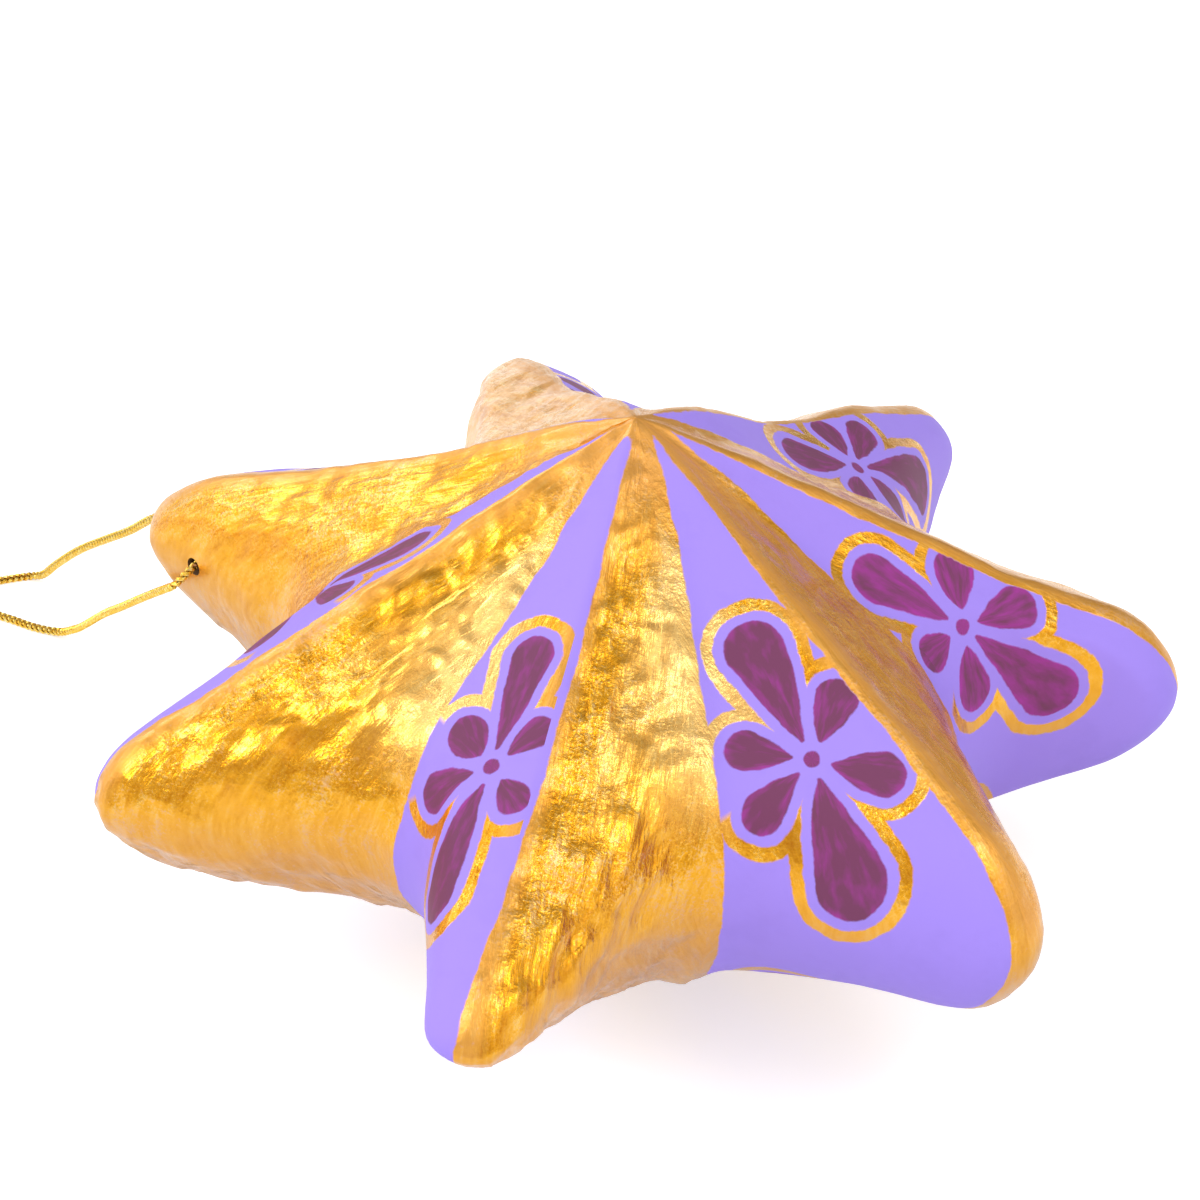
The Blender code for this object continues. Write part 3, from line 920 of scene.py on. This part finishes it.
class Gold:
    # gold is dabbed on: grainy on the faces, matt on the ridges and smooth round the rim; some of
    # its tone is painted highlight and painted shade
    def __init__(self, paint, lines):
        down, sideways, flank, spot = lines.down, lines.sideways, lines.flank, lines.spot
        facing = paint.parts(paint.node("ShaderNodeNewGeometry", {}, {}, "Normal"))[2]
        rim = 1.0 - facing.step(0.10, 0.42)
        # the rim's lower part, below about the mid plane, gets a duller, darker tone and less
        # metal: painted shade on the underside
        low = rim * (1.0 - paint.parts(spot)[2].step(0.026, 0.037))
        ridge = 1.0 - sideways.size().step(0.9, 2.6)
        # duller, browner and matt along the ridges and round the crown
        mattRidges = (ridge * 0.75).most(1.0 - down.step(7.0, 20.0)) * (1.0 - rim)
        # the gold flank that faces right, turned from the lamps, gets a duller tone, less metal
        # and fewer lilac specks: painted shade
        wornAndShaded = flank.near(13.0)
        # a paler, less metallic band on the front flanks' gold beside the lilac, down to 40 to 50
        # mm from the crown: painted highlight
        frontFlanks = flank.step(8.0, 9.0) * (1.0 - flank.step(12.0, 13.0))
        pale = (1.0 - (-lines.edge).step(2.0, 11.0)) * sideways.step(5.0, 8.0) * frontFlanks
        pale = pale * (1.0 - down.step(40.0, 50.0))

        across = sideways - down * 0.10
        place = paint.joined(down * 0.155, across * 0.66, flank * 3.1)
        brushed = paint.noise(place, 1.0, 3.0, 0.6)
        place = paint.joined(down * 0.36, across * 2.4, flank * 1.7)
        streaks = paint.noise(place, 1.0, 2.0, 0.55)
        broad = paint.noise(spot, 85.0, 3.0, 0.55)
        specks = paint.noise(spot, 1500.0, 3.0, 0.65)
        fine = paint.noise(spot, 3600.0, 2.0, 0.6)
        grainy = (0.30 + broad.step(0.40, 0.62) * 0.70) * (1.0 - rim * 0.7) * (1.0 - ridge * 0.5)
        thin = brushed * 0.34 + broad * 0.50 + specks * 0.50 + fine * 0.40 + low * 0.06
        thin = thin.step(0.94, 1.10) * lines.goldSide * (0.48 - wornAndShaded * 0.38)

        # a dark, crumpled line along the shoulder, where the face turns down into the rim:
        # painted shade
        shoulderShade = (1.0 - (facing - 0.46).size() * 6.0).clamped()
        shoulderShade = shoulderShade * (specks * 1.6 + brushed * 1.4 - 1.1).clamped()
        tone = (brushed - 0.5) * goldLook["brushed"] + (streaks - 0.5) * goldLook["streaks"]
        tone = tone + (broad - 0.5) * goldLook["broad"] - shoulderShade * 0.36 + pale * 0.14
        tone = (tone + ((specks - 0.5) * 0.7 + (fine - 0.5) * 1.0) * grainy + 0.5).clamped()
        self.color = paint.shades(tone, goldLook)
        for share, name in (
            (rim * 0.50, "smooth"), (pale * 0.50, "pale"), (mattRidges * 0.85, "ridge"),
            (low * (brushed * 1.6 - 0.2).clamped(), "lowRimShade"), (thin, "thin"),
            (low * 0.13, "shade"), (wornAndShaded * (1.0 - rim) * 0.50, "wornAndShaded"),
        ):
            self.color = paint.mix(share, self.color, goldLook[name])

        glossy, matte = goldLook["roughness"]
        self.rough = glossy + (matte - glossy) * (1.0 - tone)
        self.rough = self.rough + thin * 0.12 + rim * 0.10 + mattRidges * 0.20
        dull = low * 0.15 + wornAndShaded * (1.0 - rim) * 0.25 + pale * 0.22 + mattRidges * 0.28
        self.metal = (1.0 - thin * 0.75) * (goldLook["metal"] - dull)
        self.coat = 0.15 + ((fine - 0.5) * 1.8 + (streaks - 0.5) * 1.6 + 0.35).clamped() * 0.75

        wrinkles = 1.0 - (paint.noise(spot, 430.0, 2.0, 0.55) - 0.5).size() * 4.0
        grain = ((specks - 0.5) * 0.9 + (fine - 0.5) * 0.7 + (wrinkles - 0.5) * 0.9) * grainy
        combed = (0.40 + flank.near(11.0) * 0.60) * (1.0 - rim * 0.5)
        self.grain = grain + ((brushed - 0.5) * 3.5 + (streaks - 0.5) * 1.2) * combed


def paintedFinish():
    paint = Paint("goldAndLilacPaint")
    lines = Lines(paint)
    gold = Gold(paint, lines)
    onGold, onPetal = lines.gold, lines.onPetal

    # lilac is brushed on evenly, with faint darker rubs
    rubs = paint.noise(lines.spot, 160.0, 4.0, 0.65).step(0.52, 0.78)
    color = paint.mix(rubs * 0.35, lilacLook["color"], lilacLook["wornAndShaded"])

    # petals show brush strokes that run out from the flower's centre
    around = paint.math("ARCTAN2", lines.y, lines.x)
    place = paint.joined(around * 5.5, lines.outward * 0.16, lines.flank)
    strokes = paint.noise(place, 1.5, 3.0, 0.55)
    # the petals on F's lilac flank lean more to magenta
    magentaOnF = (1.0 - lines.flank.step(0.0, 1.0)) * 0.30
    magenta = ((strokes - 0.5) * 2.2 + lines.petals.step(-0.9, -0.1) * 0.30 + magentaOnF).clamped()
    plum = paint.mix(magenta, petalLook["color"], petalLook["stroke"])

    color = paint.mix(onGold, paint.mix(onPetal, color, plum), gold.color)
    plain = lilacLook["roughness"]
    plain = plain + (petalLook["roughness"] - plain) * onPetal
    height = gold.grain * (0.08 + onGold * 0.92) + onGold * 0.10
    height = height + onPetal * 0.08 + strokes * onPetal * 0.3
    return paint.finish(
        Base_Color=color, Roughness=plain + (gold.rough - plain) * onGold,
        Metallic=gold.metal * onGold, Normal=paint.bump(height, goldLook["grain"]),
        Specular_IOR_Level=coatLook["specular"],
        Coat_Weight=gold.coat * onGold, Coat_Roughness=coatLook["roughness"],
    )


paperLook = {"dark": (0.16, 0.085, 0.045), "pale": (0.30, 0.19, 0.11), "fuzz": 0.0001}


def paperFinish():
    paint = Paint("barePaper")
    fibres = paint.noise(paint.spot(), 900.0, 4.0, 0.6)
    return paint.finish(
        Base_Color=paint.mix(fibres, paperLook["dark"], paperLook["pale"]), Roughness=0.9,
        Normal=paint.bump(fibres, paperLook["fuzz"]),
    )


# the thread's gold runs from dark to pale at fine random spots; the pale end is a painted glint
threadLook = {
    "dark": (0.70, 0.36, 0.03),
    "mid": (0.95, 0.60, 0.08),
    "bright": (1.0, 0.86, 0.36),
    "tones": (0.25, 0.50, 0.72),
    # painted shade: near black in the braid's crevices, between the strands
    "creviceShade": (0.10, 0.040, 0.004),
    "roughness": 0.14,
    "grain": 0.00005,
}


def cordFinish():
    paint = Paint("goldThread")
    glints = paint.noise(paint.spot(), 2600.0, 2.0, 0.6)
    # a near-black mix where the braid marks its crevices: painted shade
    creviceShade = paint.place("braid")[0]
    color = paint.shades(glints, threadLook)
    return paint.finish(
        Base_Color=paint.mix(creviceShade, color, threadLook["creviceShade"]), Metallic=1.0,
        Roughness=threadLook["roughness"] + glints * 0.2 + creviceShade * 0.2,
        Normal=paint.bump(glints, threadLook["grain"]),
    )


# Cord and knot

cord = {
    "diameter": 0.0010,
    "strands": 3,
    "strandRadius": 0.00026,
    "swing": 0.00032,
    "lift": 0.00027,
    "pitch": 0.0024,
    "strandSides": 6,
    "braidRadius": 0.00056,
    "stepsPerPitch": 12,
    "knotCentre": (-0.1105, 0.0575, 0.0015),
    "knotHalfLength": 0.0021,
    "knotLoop": (0.00058, 0.00044, 0.00085),
    "knotPoints": 36,
    "tailLength": 0.0075,
    "tailSpread": 24,
    "gap": 0.0003,
}
lieLow = cord["diameter"] / 2
nearRoute = [
    (-0.1020, 0.0566, lieLow), (-0.0950, 0.0567, lieLow), (-0.0890, 0.0554, lieLow),
    (-0.0835, 0.0531, lieLow), (-0.0800, 0.0514, lieLow), (-0.0765, 0.0500, lieLow + 0.0004),
    (-0.0740, 0.0475, 0.0032), (-0.0721, 0.0445, 0.0060), (-0.0680, 0.0377, 0.0129),
    (-0.0646, 0.0320, 0.0182), (-0.0616, 0.0272, 0.0228), (-0.0588, 0.0228, 0.0270),
    (-0.0565, 0.0190, 0.0305), (-0.0550, 0.0170, 0.0326),
]
farRoute = [
    (-0.0490, 0.0362, 0.0331), (-0.0540, 0.0367, 0.0309), (-0.0604, 0.0390, 0.0274),
    (-0.0650, 0.0440, 0.0217), (-0.0688, 0.0482, 0.0174), (-0.0733, 0.0530, 0.0123),
    (-0.0776, 0.0583, 0.0062), (-0.0803, 0.0617, 0.0020), (-0.0825, 0.0633, lieLow),
    (-0.0860, 0.0622, lieLow), (-0.0910, 0.0600, lieLow), (-0.0965, 0.0590, lieLow),
    (-0.1025, 0.0584, lieLow),
]


def smoothRoute(points):
    # evenly spaced points on a smooth curve through the chosen ones, and its length
    ends = [points[0] * 2.0 - points[1]] + points + [points[-1] * 2.0 - points[-2]]
    dense = []
    for here in range(len(points) - 1):
        a, b, c, d = ends[here : here + 4]
        for step in range(24):
            t = step / 24.0
            spot = b * 2.0 + (c - a) * t + (a * 2.0 - b * 5.0 + c * 4.0 - d) * t**2
            dense.append((spot + (b * 3.0 - a - c * 3.0 + d) * t**3) * 0.5)
    dense.append(points[-1])
    line = np.array([tuple(spot) for spot in dense])
    run = np.concatenate([[0], np.cumsum(np.linalg.norm(np.diff(line, axis=0), axis=1))])
    count = int(run[-1] / cord["pitch"] * cord["stepsPerPitch"])
    at = np.linspace(0, run[-1], count)
    return np.stack([np.interp(at, run, line[:, k]) for k in range(3)], 1), run[-1]


def knotFrame():
    knot = Vector(cord["knotCentre"])
    toStar = (Vector((0.0, 0.0, knot.z)) - knot).normalized()
    return knot, toStar, Vector((-toStar.y, toStar.x, 0.0))


def cordRoute():
    # from the knot, over the table and through the hole, and back to the knot
    centre, along = holeFrame()
    knot, toStar, across = knotFrame()
    meet = knot + toStar * (cord["knotHalfLength"] + cord["gap"])
    aside = across * (1.35 * lieLow)
    through = [centre + along * (0.0070 * side) for side in (1.0, 0.5, 0.0, -0.5, -1.0)]
    return (
        [meet - aside] + [Vector(spot) for spot in nearRoute] + through
        + [Vector(spot) for spot in farRoute] + [meet + aside]
    )


def tubeRings(line, sideways, upward, radius, sides):
    turns = np.linspace(0, 2 * math.pi, sides, endpoint=False)
    cosines, sines = np.cos(turns)[None, :, None], np.sin(turns)[None, :, None]
    return line[:, None] + (cosines * sideways[:, None] + sines * upward[:, None]) * radius


def framesAlong(line):
    # sideways and upward at each point, turning as little as they can
    forward = np.gradient(line, axis=0)
    forward /= np.linalg.norm(forward, axis=1)[:, None]
    sideways = np.zeros_like(line)
    now = np.cross(forward[0], (0, 0, 1))
    for here, ahead in enumerate(forward):
        now = now - ahead * now.dot(ahead)
        now = now / np.linalg.norm(now)
        sideways[here] = now
    return sideways, np.cross(sideways, forward)


def tubeFaces(rings, sides, first):
    numbers = first + np.arange(rings * sides).reshape(rings, sides)
    after = np.roll(numbers, -1, 1)
    quads = np.stack([numbers[:-1], after[:-1], after[1:], numbers[1:]], -1)
    return quads.reshape(-1, 4).tolist() + [numbers[0][::-1].tolist(), numbers[-1].tolist()]


def braid(line, length):
    # three flat strands that cross in turn, as in a plaited metallic cord
    sideways, upward = framesAlong(line)
    run = np.linspace(0, length, len(line))
    points, faces, creviceShades = [], [], []
    for strand in range(cord["strands"]):
        turn = 2 * math.pi * (run / cord["pitch"] + strand / cord["strands"])
        path = line + sideways * (np.sin(turn) * cord["swing"])[:, None]
        path = path + upward * (np.sin(2 * turn) * cord["lift"])[:, None]
        across, over = framesAlong(path)
        rings = tubeRings(path, across, over, cord["strandRadius"], cord["strandSides"])
        faces += tubeFaces(len(line), cord["strandSides"], sum(len(p) for p in points))
        points.append(rings.reshape(-1, 3))
        # strand surface near the cord's middle, in the crevices between strands, is marked for
        # painted shade
        outness = ((rings - line[:, None]) ** 2).sum(-1) / cord["braidRadius"] ** 2
        creviceShades.append(np.clip((0.62 - outness) / 0.35, 0, 1).ravel())
    return np.concatenate(points), faces, np.concatenate(creviceShades)


def braidedPiece(name, routes, material):
    points, faces, creviceShades = [], [], []
    for route in routes:
        line, length = smoothRoute(route)
        newPoints, newFaces, newCreviceShades = braid(line, length)
        first = sum(len(part) for part in points)
        faces += [[corner + first for corner in face] for face in newFaces]
        points.append(newPoints)
        creviceShades.append(newCreviceShades)
    item = meshItem(name, np.concatenate(points).tolist(), faces, material)
    # the braid attribute carries the painted shade between the strands
    depth = np.concatenate(creviceShades)
    addVectors(item.data, "braid", "POINT", np.stack([depth, 0 * depth, 0 * depth], -1))
    item.data.shade_smooth()
    item.data.set_sharp_from_angle(angle=math.radians(50))
    return item, line, length


def knotRoutes():
    # an overhand knot pulled tight, and the two cut ends that lie on the table beyond it
    knot, toStar, across = knotFrame()
    wide, deep, high = cord["knotLoop"]
    loop = []
    for step in range(cord["knotPoints"] + 1):
        turn = 2 * math.pi * step / cord["knotPoints"] + 0.5
        x = math.sin(turn) + 2 * math.sin(2 * turn)
        y = math.cos(turn) - 2 * math.cos(2 * turn)
        spot = knot + toStar * (x * wide) + across * (y * deep)
        spot.z -= math.sin(3 * turn) * high
        loop.append(spot)
    routes = [loop]
    for side in (-1, 1):
        spread = math.radians(cord["tailSpread"] * side)
        way = -toStar * math.cos(spread) + across * math.sin(spread)
        start = knot - toStar * (cord["knotHalfLength"] * 0.75)
        start.z = knot.z * 0.7
        tail = [start]
        for share in (0.2, 0.4, 0.7, 1.0):
            spot = start + way * (cord["tailLength"] * share)
            spot.z = max(lieLow, start.z * (1 - share * 2))
            tail.append(spot)
        routes.append(tail)
    return routes


def makeStar():
    skin = Skin()
    print("star skin:", skin.points.shape)
    paper, painted = paperFinish(), paintedFinish()
    last = len(skin.points) - 1
    cutRow = star["faceRows"] + round(star["edgeRows"] * star["stripShare"])
    cuts = (cutRow, last - cutRow)
    makings = {
        "starTopHalf": (np.arange(0, cuts[0] + 1), "front_shell", "lilac_paint"),
        "starRimStrip": (np.arange(cuts[0], cuts[1] + 1), "joint_strip", "gold_paint"),
        "starBottomHalf": (np.arange(cuts[1], last + 1), "back_shell", "lilac_paint"),
    }
    for name, (rows, node, slot) in makings.items():
        item = shellMesh(name, skin, rows, [painted, paper])
        if node == "joint_strip":
            pierce(item, paper)
        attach(item, "star")
        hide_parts(node)
        print(name, len(item.data.polygons), "faces")


def makeCord():
    thread = cordFinish()
    item, line, length = braidedPiece("goldCord", [cordRoute()], thread)
    knot, _, _ = braidedPiece("goldKnot", knotRoutes(), thread)
    for piece, node in ((item, "hanging_cord"), (knot, "cord_knot")):
        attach(piece, "loop")
        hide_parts(node)
    tuple(line[0])
    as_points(line[::4].tolist() + [line[-1].tolist()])
    print("cord", round(length, 4), "m")


makeCamera()
makeLamps()
makeSky()
makeFloor()
print("studio ready")
makeStar()
makeCord()
